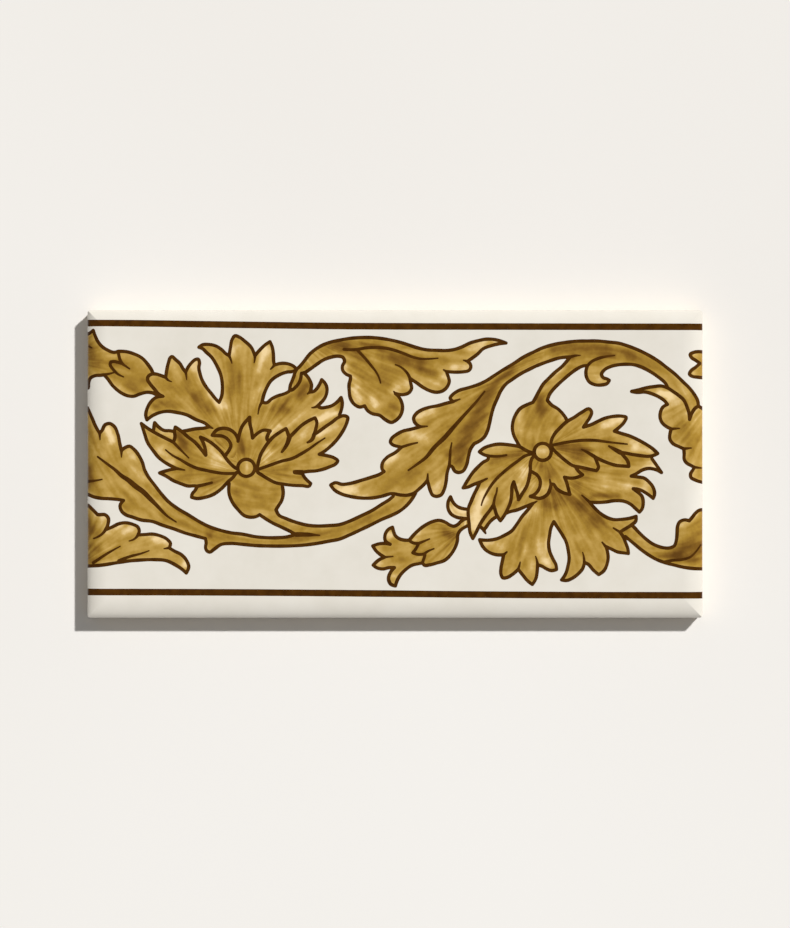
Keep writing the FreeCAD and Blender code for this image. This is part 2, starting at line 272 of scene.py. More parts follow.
outline 143.3,56.75 141.7,57.25 139.9,57.1 137.8,56.75 136.2,56.35 134.4,55.9* 135.7,55.65 137.8,55.75
  139.6,55.25 141.2,54.5 142.5,53.6 143.25,52.7* 142.1,52.05 141.5,50.8 141.4,49.5 141.9,48.2 142.9,47.3
  144.15,46.65* 143.85,45.5 143.8,44.2 144.5,43.1 145.9,42.35 147.25,41.75* 147.35,40.5 147.35,39.2
  147.9,38.3 148.9,37.7 149.9,37.2* 149.5,36.5 148.95,35.6 149,34.75 150.2,34 152,33.45 ( 153,33.2
  153,51.5 ) 152,51.75 150.9,52.3* 150.2,51.85 149.4,50.8 148.7,49* 148.6,50.3 148.05,52.1 147.3,53.7
  145.9,55 144.6,55.9
lines 0.6>0.3 144.15,46.65 146.2,46.8  0.6>0.3 147.25,41.75 149.1,41.95  0.6>0.3 149.9,37.2 151.7,37
shades 0.22@1.3 143.8,54.6 146,52.3  0.4@0.9 141.6,55.7 143.6,54.9  -0.2@0.8 137.8,56.3
  0.08@1.1 142.8,50.5  -0.1@1 144.8,46  -0.2@1.5 147,47.5 148.5,43.5  -0.12@1.2 149.5,40 150.5,36.5
  0.1@1.2 150,51.3
form second_back light 0.03 fan 113,37
outline 96.9,19.3* 99,19.2 101.1,19.55 102.9,20.35 104.8,21.5 106.1,23.2 107.4,25.1 108.7,26.6
  109.9,28.15* 108.2,27.5 106.1,26.65 104.3,26.2 103.1,25.7 ( 102,25.3 ) 100.9,24.9 99.9,24.2 99,23.2
  98.4,22.3 97.9,21.8* 97.2,22.4 ( 97,28 105,36 120,41 134,41.2 138.4,40.5 ) 139.4,39.3* 140.25,38.1
  141.15,36.8 141.75,35.9* 140.2,36.65 138.6,36.9 137,36.5 135.7,35.7 134.3,35* 135.9,34.8 137.5,34.5
  138.65,33.6 139.75,32.1 140.05,30.5 139.7,29.5* 139.1,30 138,30.8 136.5,31.6 134.8,31.9* 135.85,31.1
  136.9,30.1 137.25,28.5 136.95,26.9 136.3,26.1* 135.35,27 134.1,28.1 132.5,28.8 130.4,28.95 127.8,28.6
  125.7,28.5 124,28.6* 125.2,27.2 126.7,25.8 128.3,24.8 129.9,24.3 132,24.35 134.1,24.65 135.5,25.1*
  135.4,23.9 134.4,23 132.8,22 131.5,21.2* 132.45,19.8 132.9,18.6 133.45,17.1 133.6,15.9* 132.5,16.05
  130.9,16.3 129.4,17 128.1,17.6* 128.4,16.5 128.6,15 128.3,13.2 127.5,11.6 126.25,10.7* 124.9,11.85
  123.6,13.3 122.75,13.7* 122.3,12.2 121.2,10.9 119.9,9.9 118.3,9.25 117.1,9.4* 118.05,10.8 118.65,12.7
  118.95,14.5 118.75,16.6 118.25,18.7 117.25,20.6 116.2,22.2 115.2,23.75* 114.5,22.3 114.15,20.4
  113.9,18.3 114.15,16.5 114.95,14.6 115.75,13 115.85,11.95* 114.6,11.7 113.3,12.15 112.2,12.8
  111.2,13.1* 111.1,11.7 110.75,9.7 109.9,8.25* 108.7,9.2 107.4,10.75 106.4,12* 105.05,10.8 103.5,9.95
  102.6,9.9 102.15,10.75 102.15,12.3 102.5,14.1 102.8,15.6* 101.6,15.55 100.05,15.85 98.5,16.7
  97.55,17.8
lines 0.7>0.4 97.9,21.7 98.35,20.9  0.6>0.3 109.9,28.2 111,28.8  0.6>0.3 123.9,28.7 122.1,30.3
  0.6>0.35 131.5,21.2 129.9,22.2  0.6>0.3 128,17.6 127.1,18.7  0.6>0.25 122.7,13.7 122.6,15 122.3,16.2
  0.6>0.25 111.2,13.1 111,14.2 110.7,15.2  0.6>0.25 106.4,12 106.7,13 106.9,13.8
  0.6>0.35 102.8,15.6 103.6,16.3
shades -0.3@2 114.5,31.5 118,29.8  -0.3@1.4 112.5,28.5 115.5,27.6  -0.42@2 121.8,28 126,24.5
  -0.2@1.5 121,33 123.5,35.5  -0.35@0.9 125,30.2 131,29.9  0.15@0.9 126,32 133,31.6
  0.28@1.2 127.5,34 133.5,33.2  0.25@1.2 137.6,33.3  -0.3@0.8 139.5,31.2  0.25@1.1 138.5,38 140,37.5
  0.15@1 136.6,29  0.15@1.3 108,25.5 110.5,26.5  -0.15@1.6 106.8,20 106,17.5
  0.3@1.2 111.3,19 112.6,14.5  0.27@1 113.4,13.8 114.5,13  0.2@1.2 109.5,13.5 108,18
  0.25@1.2 98.6,18.6 102,17.5  0.15@1.3 121,19.8  0.15@1.3 124.5,19 125.5,16  -0.08@1 103.3,11.5
  -0.12@1 109.7,10.5  -0.1@1 119.2,11.5  0.25@1.1 109.9,33
form first_curl light -0.12 wrap 33,43
outline 30.9,45.1* 32.2,46.5 34.05,46.8 35.6,46.3 36.75,45.2 37.3,43.9* ( 37,41 36,39.5 ) 34.3,40.2
  35,41.3 35.5,42.6 34.9,43.9 33.5,44.85 31.9,45
form first_crown fan 39.3,36
outline 37.25,43.6* 37.6,45.35 38.35,47.4 39.4,48.75 40.15,49.55* 40.2,48 40.6,46.15 40.85,44.4*
  42.05,45.55 43.6,46.35 45.2,46.15* 44.7,45.35 44.4,44.25 45.1,43.45* ( 43,40 41,37 38,37 37,40.9 )
shades -0.35@1.2 37.7,43.6 38.2,41.5  0.2@0.9 39.5,47  0.2@0.9 43.5,45.3
form first_petal_left fan 38,36
outline 13.4,48* 14.2,45.5 15,43.2 16.4,41.2 17.9,39.4 19.7,38.1 21,37.4 22,36.9* 19.8,36.4 17.9,35.8*
  19.7,34.9 21.3,33.9 23,33.2 25.1,32.55 26.4,32.6 27.2,32.5* 26.6,31.4 26,30.7 25.8,29.8* 26.9,29.5
  29.05,29.75 31.2,30.5 33,31.75 34.8,33.6 36.2,34.9 36.9,35.9 ( 38,37 ) 36.9,36.9 35.9,37.6 34.6,39
  33.3,40.8 31.7,42.4 29.6,43.9 28,44.6* 28.6,43.4 29.1,42 29.3,40.2* 28.1,41.7 26.6,43.4 25,44.6
  23.3,46.1 21.8,47.1* 21.6,46.2 21.7,44.6 21.3,43.4* 19.1,44.5 16.9,45.65 15,46.8
lines 0.3>0.6>0.6>0.6 19.4,41.5 21,40.2 23,39.1 25,37.9 27,37 29,36.5 30.9,36.1 33.5,35.7 36.9,35.7
  0.6>0.3 22,36.9 24.1,36.5  0.7>0.5 27.2,32.5 28.5,32.8 30.8,33.4
  0.6>0.3 21.3,43.4 23,41.6 24.2,40.4 25.1,39.5
shades -0.42@1.2 22.6,45.2 24,43  0.3@1.2 30.8,41.5 33,39.6  0.25@1.2 31,38.3 34,37.3
  0.3@1.3 18,41.3 21,38.8  -0.12@1.1 30.5,34.5 33.5,34.6  -0.1@1 27.2,31.3  0.12@1 15,45
form first_petal_right light 0.04 fan 41,36.5
outline 42.05,37.1 42.3,38.4 42.85,40.3 43.75,41.9 44.8,43.4 46,44.7 47.6,45.85 49.1,46.75* 49.55,45.6
  49.9,44.5* 51.3,45.95 52.8,47.4 54.4,48.5 56.25,49.4* 56.7,48.4 56.5,46.85 56.05,45.3* 57.05,45.9
  58.6,47.05 60.5,48.35 62.05,49.5 63.6,49.9 64.35,49.5 64.25,48.7 63.8,47.4 62.75,45.5 61.5,43.8
  59.9,42.2 58.4,41 57.3,40.4* 59.2,40.05 61,39.5 61.9,38.75 61.4,38.05 59.9,37.3 58.4,36.75 56.5,36.3
  54.4,36.15 53,35.9* 53.8,34.55 55.2,33.2* 54.9,32.6 53.1,32.65 51.3,32.7 48.6,33 46.5,33.4 44.7,34.3
  43.1,35.3 42.05,36.1
lines 0.6>0.6>0.6>0.3 42.05,36.6 45,37.65 48,38.7 50.6,39.35 53,40.6 55,41.85 57,43.3 58.7,44.4
  0.9>0.8>0.5 49.9,44.5 49.4,43 48.7,41.8 48.1,41  0.8>0.7>0.4 56.05,45.3 55.5,44 54.4,43.3
  1>0.8 53,35.9 51.3,36
shades 0.28@1.2 43.9,38.8 44.8,40.8  -0.25@1 45.8,42.4  0.2@1.2 47.5,38.8  -0.2@0.9 51,45.8
  -0.22@1.2 43.5,36 49,36.3  -0.35@1.1 53.3,35.2  0.3@1.1 57.5,45.3 61.5,47.2
  0.28@1.2 54.5,46.5 52.5,44  0.12@1 56,39.2  -0.08@1 60.3,38.7
form first_boss disc 39.3,37.05,2.1
shades 0.15@1 39.3,37
form second_crown fan 112.5,41
outline 109.8,36.1 111.05,35.3 111.8,34 111.8,32.7 111.35,31.5 110.3,30.4 109.4,30* 110.3,29.8
  111.6,29.5 112.9,29.95 113.8,30.75 114.2,31.7 114.5,32.9* 114.9,33.05 115.9,31.9 117.3,31 119.15,30.5*
  118.75,32 118.3,33.6 117.8,34.75* 119.6,34.5 121.2,34.8 122.3,35.35* 121.2,36.3 120.5,37.4* ( 119,40
  113,42 109,40 )
lines 0.6>0.3 114.5,32.9 114.3,33.6 114.2,34.2
shades -0.22@1.5 111.8,37.3 114.5,36.3  0.15@1.2 116.5,39  -0.25@1.2 113.2,34.5  -0.12@1 120.8,35.8
form second_petal_right fan 113.5,42
outline 114.5,42.6 114.6,43.8 115.4,45.45 116.9,47.1 118.3,48.4 120.2,49.5 122,50.7 124.05,51.55
  124.5,50.95 124.1,49.5 123.3,48.3 122.5,47.1* 124.6,47.8 126.2,48.6 127.8,49.3 129.9,49.75 132,49.8
  133.05,49.55 132.6,48.4 131.4,47.1 130.15,46.1* 132,45.5 133.8,44.95 135.7,44.1 137.8,42.95
  139.6,41.75 140.8,40.6* 139.6,40.05 138.6,39.9 136.7,40.05 134.6,40.35 132.8,40.7 131.6,40.85*
  132.5,39.9 133.5,38.5 133.7,37.4* 132.3,37.5 130.4,37.7 128.6,38.25 126.7,39.05 125.25,39.8*
  125.85,38.4 126.2,37.1 125.7,36.35* 123.8,36.75 122,37.15 119.9,37.6 118.05,38.85 116.5,40.2
  114.9,41.85
lines 0.6>0.6>0.3 114.6,42.6 117.3,43.15 119.9,43.6 122.5,43.85 125.7,43.8 128.3,43.45 130.4,43.2
  133.3,42.9  0.9>0.7>0.4 131.6,40.85 130.2,41.6 128.8,42.4
  0.7>0.6>0.3 125.25,39.8 123.6,40.8 122.1,41.6
shades -0.32@1.3 116.5,42.2 123,41.3  0.1@1.1 122.5,49.8  0.15@1.2 121,45 127,46
  0.38@1.3 127.5,47.8 131.5,48.8  0.12@1.1 130,44.8 135,43  0.35@1.2 135.5,42.3 139,41
  0.1@0.9 124.5,37.6  -0.2@0.9 119.5,39.9 122,39.6  0.2@1 131,38.7  -0.2@1 127,40.3
form second_petal_left light 0.06 fan 111,41
outline 110.4,40.8 109,41.05 107.9,41.6 106.9,42.2 105.05,42.6 103.5,42.8 101.6,42.9 99.8,42.6 97.9,41.9
  96.8,41* 97.9,40.3 99,40* 99,39.3 97.7,38.4 96.4,37.2 95.05,35.7 94,34.1 92.8,32.1* 94,32.3 95.3,32.9
  96.9,33.5* 96.4,32.3 95.6,30.7 94.8,28.8 94.1,27 94.1,24.9 94.3,23.05 94.5,21.2 95.2,19.6* 95.8,20.7
  96.6,22.3 97.4,23.8 98.5,25.4 99.5,26.7 100.3,27.9* 100.6,27 101.1,25.4 102,24* 102.9,25.2 103.7,26.7
  104.5,28.6 104.8,30.7 104.9,32.5 105.3,33.6* 105.8,32 106.2,30.7 106.5,29.2* 107.4,30.7 108.5,32.5
  109.1,34.6 109.4,36.5 109.4,38.05 109.8,39.4 110.6,40.3 ( 111,41.5 )
lines 0.6>0.6>0.6>0.3 110.4,40.6 107.9,39.9 106.4,38.8 104.5,37.4 102.7,35.9 101.1,34.4 99.8,32.8
  98.5,30.7 97.7,29.1 97.3,27.8  0.6>0.4 99,40 101.6,39.9 103.5,40.2  0.6>0.4 96.9,33.5 98.7,34.4
  0.6>0.3 100.3,27.9 100.6,29.6 101.1,31.2 101.2,32.1
shades -0.32@1.3 100,38.5 106,40.5  -0.4@0.9 107.5,41.2  0.45@1.3 95.6,22.5 96.6,26.5 98,29.3
  0.2@1.1 98,31 99.5,33.5  -0.3@0.9 99.9,25.3  -0.12@1.1 101.3,28.5  0.3@1.2 106.8,32 107.8,36.5
form second_boss disc 112.45,41,2.1
shades 0.4@1.4 112.2,41.1
"""
HEADINGS = ("form", "light", "fan", "wrap", "disc", "outline", "lines", "shades")

# The paints, in the order of the mesh's materials.
GROUND, OCHRE, LINE, BISCUIT = range(4)

# How finely curves are cut: the longest step, the sharpest turn, and the steps round a line's end.
CURVE_STEP = 0.42
CURVE_TURN = math.radians(15)
CAP_STEPS = 4
CIRCLE_STEPS = 16
TINY = 1e-9
TINY_SQUARE = 1e-12


def read_forms(text):
    """Each form as the words under each of its headings."""
    forms = []
    for word in text.split():
        if word == "form":
            forms.append({})
        if word in HEADINGS:
            words = forms[-1][word] = []
        else:
            words.append(word)
    return forms


def read_runs(words):
    """The runs of points, each after the word that it starts with."""
    runs = []
    for word in words:
        if "," in word:
            runs[-1][1].append(word)
        else:
            runs.append((word, []))
    return runs


def read_values(word, mark=","):
    return [float(value) for value in word.split(mark)]


def read_path(words):
    """An outline's points, which of them are corners, and which stretches carry a line."""
    points, corners, inked, lifted = [], [], [], []
    pen = True
    for word in words:
        if word == "(":
            pen = False
            lifted.append(len(inked) - 1)
        elif word == ")":
            pen = True
        else:
            corners.append(word.endswith("*"))
            points.append(read_values(word.rstrip("*")))
            inked.append(pen)
    for number in lifted:
        inked[number] = False
    return np.array(points), corners, inked


def slope_at(before, here, after):
    """The slope at a point of the parabola through it and its neighbours."""
    first, second = here - before, after - here
    first_length, second_length = np.linalg.norm(first), np.linalg.norm(second)
    blend = first / first_length * second_length + second / second_length * first_length
    return blend / (first_length + second_length)


def smooth_curve(points, corners, closed):
    """Samples of a smooth curve through the points, each with the number of its stretch."""
    count = len(points)
    samples, stretches = [], []
    for i in range(count if closed else count - 1):
        j = (i + 1) % count
        start, end = points[i], points[j]
        length = np.linalg.norm(end - start)
        chord = (end - start) / length
        sharp_start = corners[i] or (not closed and i == 0)
        sharp_end = corners[j] or (not closed and j == count - 1)
        leave = None if sharp_start else slope_at(points[i - 1], start, end)
        arrive = None if sharp_end else slope_at(start, end, points[(i + 2) % count])
        if leave is None and arrive is None:
            leave = arrive = chord
        elif leave is None:
            leave = (3 * chord - arrive) / 2
        elif arrive is None:
            arrive = (3 * chord - leave) / 2
        cosine = np.dot(leave, arrive) / (np.linalg.norm(leave) * np.linalg.norm(arrive) + TINY)
        turn = math.acos(max(-1.0, min(1.0, cosine)))
        steps = max(1, math.ceil(length / CURVE_STEP), math.ceil(turn / CURVE_TURN))
        for k in range(steps):
            t = k / steps
            samples.append(
                start * (2 * t**3 - 3 * t**2 + 1)
                + leave * length * (t**3 - 2 * t**2 + t)
                + end * (3 * t**2 - 2 * t**3)
                + arrive * length * (t**3 - t**2)
            )
            stretches.append(i)
    if not closed:
        samples.append(points[-1])
        stretches.append(count - 2)
    return np.array(samples), stretches


def inked_runs(samples, stretches, corners, inked):
    """The parts of a closed outline that carry a line, cut at its corners."""
    total = len(samples)
    cuts = [k for k in range(total) if stretches[k] != stretches[k - 1]
            and (corners[stretches[k]] or inked[stretches[k]] != inked[stretches[k - 1]])]
    if not cuts:
        return [(samples, True)] if inked[0] else []
    runs = []
    for number, first in enumerate(cuts):
        last = cuts[(number + 1) % len(cuts)]
        if not inked[stretches[first]]:
            continue
        span = (last - first) % total or total
        runs.append((samples[[(first + k) % total for k in range(span + 1)]], False))
    return runs


def along(points):
    """The share of a curve's length at each of its points, from 0 to 1."""
    steps = np.linalg.norm(np.diff(points, axis=0), axis=1)
    reached = np.concatenate([[0], np.cumsum(steps)])
    return reached / max(reached[-1], TINY)


def swelling(x, y):
    """The slight swelling and thinning of a line that is drawn by hand."""
    return noise.noise(Vector((x * WOBBLE_PITCH, y * WOBBLE_PITCH, WOBBLE_SEED)))


def nearest_on(places, starts, ends):
    """How far each place is from each straight piece, and how far along the piece that is."""
    run = ends - starts
    gap = places[:, None, :] - starts[None]
    t = np.clip((gap * run[None]).sum(axis=2) / ((run**2).sum(axis=1) + TINY_SQUARE), 0, 1)
    return np.linalg.norm(gap - t[..., None] * run[None], axis=2), t


class Stroke:
    """A drawn line: its middle, half its width along it, and its two edges."""

    def __init__(self, points, widths, closed=False, wobble=LINE_WOBBLE):
        self.points = points
        self.closed = closed
        middles = np.interp(along(points), np.linspace(0, 1, len(widths)), widths)
        self.half = middles / 2 * np.array([1 + wobble * swelling(x, y) for x, y in points])
        following = np.roll(points, -1, axis=0)
        previous = np.roll(points, 1, axis=0)
        if not closed:
            following[-1] = points[-1]
            previous[0] = points[0]
        heading = following - previous
        heading /= np.linalg.norm(heading, axis=1)[:, None] + TINY
        self.heading = heading
        self.left = np.stack([-heading[:, 1], heading[:, 0]], axis=1)

    def borders(self):
        """The loops round the line, with a round cap at each end of an open one."""
        offset = self.left * self.half[:, None]
        if self.closed:
            return [self.points + offset, self.points - offset]
        loop = list(self.points + offset)
        for end, sign in ((-1, 1), (0, -1)):
            for k in range(1, CAP_STEPS):
                angle = math.pi * k / CAP_STEPS
                away = math.cos(angle) * self.left[end] * sign + math.sin(angle) * self.heading[end] * sign
                loop.append(self.points[end] + self.half[end] * away)
            if end:
                loop.extend((self.points - offset)[::-1])
        return [np.array(loop)]

    def ends_of_pieces(self, values):
        """The values at the start and at the end of each straight piece of the line."""
        if self.closed:
            return values, np.roll(values, -1, axis=0)
        return values[:-1], values[1:]

    def covers(self, places):
        away, t = nearest_on(places, *self.ends_of_pieces(self.points))
        start, end = self.ends_of_pieces(self.half)
        return (away <= start + t * (end - start)).any(axis=1)

    def box(self):
        reach = self.half.max()
        return self.points.min(axis=0) - reach, self.points.max(axis=0) + reach


class Fill:
    """A painted shape."""

    def __init__(self, points):
        self.points = points

    def covers(self, places):
        inside = np.zeros(len(places), bool)
        x, y = places[:, 0], places[:, 1]
        for (ax, ay), (bx, by) in zip(self.points, np.roll(self.points, -1, axis=0)):
            if ay == by:
                continue
            crosses = (ay > y) != (by > y)
            inside ^= crosses & (x < (bx - ax) * (y - ay) / (by - ay) + ax)
        return inside

    def box(self):
        return self.points.min(axis=0), self.points.max(axis=0)


def within(box, places):
    low, high = box
    return ((places >= low) & (places <= high)).all(axis=1)


def covered_by(shape, places):
    """Which of the places lie on the shape."""
    result = np.zeros(len(places), bool)
    near = np.nonzero(within(shape.box(), places))[0]
    if len(near):
        result[near] = shape.covers(places[near])
    return result


def drawn(words, widths, wobble=LINE_WOBBLE):
    """A line along a smooth curve through its points."""
    points, corners, _ = read_path(words)
    samples, _ = smooth_curve(points, corners, closed=False)
    return Stroke(samples, widths, wobble=wobble)


def circle(x, y, radius):
    steps = max(CIRCLE_STEPS, math.ceil(2 * math.pi * radius / CURVE_STEP))
    turns = np.arange(steps) * 2 * math.pi / steps
    return np.stack([x + radius * np.cos(turns), y + radius * np.sin(turns)], axis=1)


class Leaf:
    """One painted form of the scroll, with its outline, its lines and its shading."""

    def __init__(self, number, entry):
        self.number = number
        if "disc" in entry:
            samples = circle(*read_values(entry["disc"][0]))
            runs = [(samples, True)]
        else:
            points, corners, inked = read_path(entry["outline"])
            samples, stretches = smooth_curve(points, corners, closed=True)
            runs = inked_runs(samples, stretches, corners, inked)
        self.fill = Fill(samples)
        self.strokes = [Stroke(run, [LINE_WIDTH], closed) for run, closed in runs]
        self.lines = [drawn(words, [LINE_SPREAD * width for width in read_values(first, ">")])
                      for first, words in read_runs(entry.get("lines", []))]
        self.shades = [(*read_values(first, "@"), np.array([read_values(word) for word in words]))
                       for first, words in read_runs(entry.get("shades", []))]
        self.light = float(entry["light"][0]) if "light" in entry else 0.0
        self.fan = "fan" in entry
        centre = entry.get("fan") or entry.get("wrap")
        self.centre = np.array(read_values(centre[0])) if centre else None

    def brush(self, places):
        """How far each place is across the brush marks and along them."""
        offset = BRUSH_OFFSET * self.number
        if self.centre is None:
            return places + offset
        arms = places - self.centre
        outline = self.fill.points - self.centre
        middle = outline.mean(axis=0)
        reach = np.linalg.norm(outline, axis=1).mean()
        turn = np.arctan2(middle[0] * arms[:, 1] - middle[1] * arms[:, 0], arms @ middle) * reach
        away = np.linalg.norm(arms, axis=1)
        ways = (turn, away) if self.fan else (away, turn)
        return np.stack(ways, axis=1) + offset


def path_distance(places, spots):
    """How far each place is from a run of straight pieces through the spots, or from one spot."""
    starts, ends = (spots[:-1], spots[1:]) if len(spots) > 1 else (spots, spots)
    return nearest_on(places, starts, ends)[0].min(axis=1)


def fading(strength, distance, reach):
    return strength * np.exp(-((distance / reach) ** 2))


def tone(leaf, places):
    """How light the paint of a leaf is at each place, from 0 to 1."""
    result = np.full(len(places), MIDDLE_TONE + leaf.light)
    rim = np.min([path_distance(places, stroke.points) for stroke in leaf.strokes], axis=0)
    result += fading(RIM_LIGHT, rim, RIM_REACH)
    for vein in leaf.lines:
        result -= fading(VEIN_DARK, path_distance(places, vein.points), VEIN_REACH)
    for strength, reach, spots in leaf.shades:
        result += fading(strength, path_distance(places, spots), reach)
    return result


leaves = [Leaf(number, entry) for number, entry in enumerate(read_forms(SCROLL))]
bands = [drawn(text.split(), [BAND_WIDTH], BAND_WOBBLE) for text in BANDS]


def rounded_rectangle(length, width, radius, centre, steps):
    """Points round a rectangle with rounded corners, anticlockwise."""
    points = []
    for quarter, (side_x, side_y) in enumerate(((1, 1), (-1, 1), (-1, -1), (1, -1))):
        turn = quarter * math.pi / 2
        middle_x = centre[0] + side_x * (length / 2 - radius)
        middle_y = centre[1] + side_y * (width / 2 - radius)
        for k in range(steps + 1):
            angle = turn + k / steps * math.pi / 2
            points.append((middle_x + radius * math.cos(angle), middle_y + radius * math.sin(angle)))
    return np.array(points)


def edge_distances(places):
    """How far each place is from the nearer short side and from the nearer long side."""
    from_ends = np.minimum(places[:, 0], LENGTH - places[:, 0])
    from_sides = np.minimum(places[:, 1], WIDTH - places[:, 1])
    return from_ends, from_sides


def height(places):
    """The face's height: flat, with a quarter ellipse down to each edge."""
    from_ends, from_sides = edge_distances(places)
    share = np.clip(1 - np.minimum(from_ends, from_sides) / SHOULDER_REACH, 0, 1)
    return THICKNESS - SHOULDER_DROP * (1 - np.sqrt(1 - share**2))


def face_box(inset):
    """The lowest and highest corners of the face, less an inset all round."""
    return np.array([inset, inset]), np.array([LENGTH - inset, WIDTH - inset])


def closely_spaced(points, step):
    """The same closed loop with points all along its straight runs."""
    spaced = []
    for start, end in zip(points, np.roll(points, -1, axis=0)):
        count = max(1, math.ceil(np.linalg.norm(end - start) / step))
        spaced.extend(start + (end - start) * k / count for k in range(count))
    return np.array(spaced)


def seen(places, number):
    """Which places aren't under a leaf that is painted later, or well off the face."""
    shown = np.ones(len(places), bool)
    for leaf in leaves[number + 1:]:
        shown &= ~covered_by(leaf.fill, places)
    return shown & within(face_box(-OVERSHOOT), places)


class Cutting:
    """A flat side of the tile that is cut into triangles along the loops drawn on it."""

    def __init__(self):
        self.corners, self.edges = [], []

    def draw(self, points, keep=None, closed=True):
        base, count = len(self.corners), len(points)
        self.corners.extend(points)
        for k in range(count if closed else count - 1):
            after = (k + 1) % count
            if keep is None or keep[k] or keep[after]:
                self.edges.append((base + k, base + after))

    def cut(self, outline, tolerance):
        """All corners, and the triangles inside the outline with their middles."""
        result = delaunay_2d_cdt([Vector(point) for point in self.corners], self.edges, [], 0, tolerance)
        corners = np.array([[vertex.x, vertex.y] for vertex in result[0]])
        triangles = np.array(list(result[2]))
        middles = corners[triangles].mean(axis=1)
        inside = covered_by(Fill(outline), middles)
        return corners, triangles[inside], middles[inside]


# The face is cut along every painted edge, so that each paint is a set of faces of its own. It is
# also cut along the shoulders and their mitres.
CORNER_STEPS = 6
SHOULDER_LOOPS = 11
LOOP_CORNER_STEPS = 3
LOOP_STEP = 0.7
SMALLEST_RADIUS = 0.05
MITRE_GAP = 0.01
MITRE_START = CORNER_RADIUS * (1 - math.sqrt(0.5)) + MITRE_GAP
OVERSHOOT = 0.3
FACE_WELD = 1e-4

face_edge = rounded_rectangle(LENGTH, WIDTH, CORNER_RADIUS, MIDDLE, CORNER_STEPS)
face = Cutting()
face.draw(face_edge)
for k in range(1, SHOULDER_LOOPS + 1):
    inset = SHOULDER_REACH * (1 - math.cos(k / SHOULDER_LOOPS * math.pi / 2))
    if inset < 2 * CORNER_RADIUS:
        radius = max(CORNER_RADIUS - inset, SMALLEST_RADIUS)
        loop = rounded_rectangle(LENGTH - 2 * inset, WIDTH - 2 * inset, radius, MIDDLE, LOOP_CORNER_STEPS)
    else:
        low, high = face_box(inset)
        loop = np.array([low, (high[0], low[1]), high, (low[0], high[1])])
    face.draw(closely_spaced(loop, LOOP_STEP))
for side_x in (0, LENGTH):
    for side_y in (0, WIDTH):
        corner = np.array([side_x, side_y])
        inward = np.array([1 if side_x == 0 else -1, 1 if side_y == 0 else -1])
        face.draw([corner + inward * MITRE_START, corner + inward * SHOULDER_REACH], closed=False)
for band in bands:
    for loop in band.borders():
        face.draw(loop)
for leaf in leaves:
    face.draw(leaf.fill.points, seen(leaf.fill.points, leaf.number))
    for stroke in leaf.strokes + leaf.lines:
        for loop in stroke.borders():
            face.draw(loop, seen(loop, leaf.number))

# Points inside the painted forms carry their shading. They lie in staggered rows, whose distance is
# a share of the pitch along a row.
SHADE_PITCH = 0.62
SHADE_ROW = 0.866
SHADE_START = (0.011, 0.017)
SHADE_MARGIN = 0.2
grid = np.array([
    (SHADE_PITCH * (column + 0.5 * (row % 2)) + SHADE_START[0],
     SHADE_PITCH * row * SHADE_ROW + SHADE_START[1])
    for row in range(int(WIDTH / (SHADE_PITCH * SHADE_ROW)) + 1)
    for column in range(int(LENGTH / SHADE_PITCH) + 1)])
painted = np.zeros(len(grid), bool)
for leaf in leaves:
    painted |= covered_by(leaf.fill, grid)
face.corners.extend(grid[painted & within(face_box(SHADE_MARGIN), grid)])

face_corners, triangles, centroids = face.cut(face_edge, FACE_WELD)
paint = np.full(len(triangles), GROUND)
owner = np.full(len(triangles), -1)
for band in bands:
    paint[covered_by(band, centroids)] = LINE
for leaf in leaves:
    on_leaf = covered_by(leaf.fill, centroids)
    paint[on_leaf] = OCHRE
    owner[on_leaf] = leaf.number
    for stroke in leaf.strokes + leaf.lines:
        paint[covered_by(stroke, centroids)] = LINE

# The tile as one closed mesh: the face, the sides with the end of the glaze, and the keyed back.
# Corners are the same where their places agree to so many digits. A face without a wash has a tone
# of its own, and a shoulder's slope is taken just short of its foot, where it stands upright.
DIGITS = 5
NO_TONE = 0.5
STEEPEST_SHARE = 0.9999
positions, lookup, faces = [], {}, []
face_paint, corner_map, corner_tone, corner_brush, corner_normal = [], [], [], [], []

# Where each side lies on the picture map: one scale for all, face above, back below.
MAP_SCALE = 0.90 / LENGTH
MAP_FACE = (0.01, 0.545)
MAP_BACK = (0.01, 0.075)
MAP_LONG = (0.005, 0.53)
MAP_SHORT = (0.925, 0.968)


def place(x, y, z):
    """The number of the corner at a place, made once."""
    key = (round(x, DIGITS), round(y, DIGITS), round(z, DIGITS))
    if key not in lookup:
        lookup[key] = len(positions)
        positions.append(((x - LENGTH / 2) * MM, (y - WIDTH / 2) * MM, z * MM))
    return lookup[key]


def add_face(numbers, material, uvs, tones=None, brushes=None, normals=None):
    """One face with what its corners hold. A normal of zero is left to the mesh."""
    count = len(numbers)
    if len(set(numbers)) < 3:
        return
    faces.append(numbers)
    face_paint.append(material)
    corner_map.extend(uvs)
    corner_tone.extend(tones if tones is not None else [NO_TONE] * count)
    corner_brush.extend(brushes if brushes is not None else [(0.0, 0.0)] * count)
    corner_normal.extend(normals or [(0.0, 0.0, 0.0)] * count)


def map_at(start, across, up):
    return (start[0] + across * MAP_SCALE, start[1] + up * MAP_SCALE)


def side_map(x, y, z, outward):
    """A long side is mapped in line with the face, and a short one in line with the back."""
    if abs(outward[1]) >= abs(outward[0]):
        return map_at((MAP_FACE[0], MAP_LONG[0] if outward[1] < 0 else MAP_LONG[1]), x, z)
    return map_at((MAP_SHORT[0] if outward[0] < 0 else MAP_SHORT[1], MAP_BACK[1]), z, y)


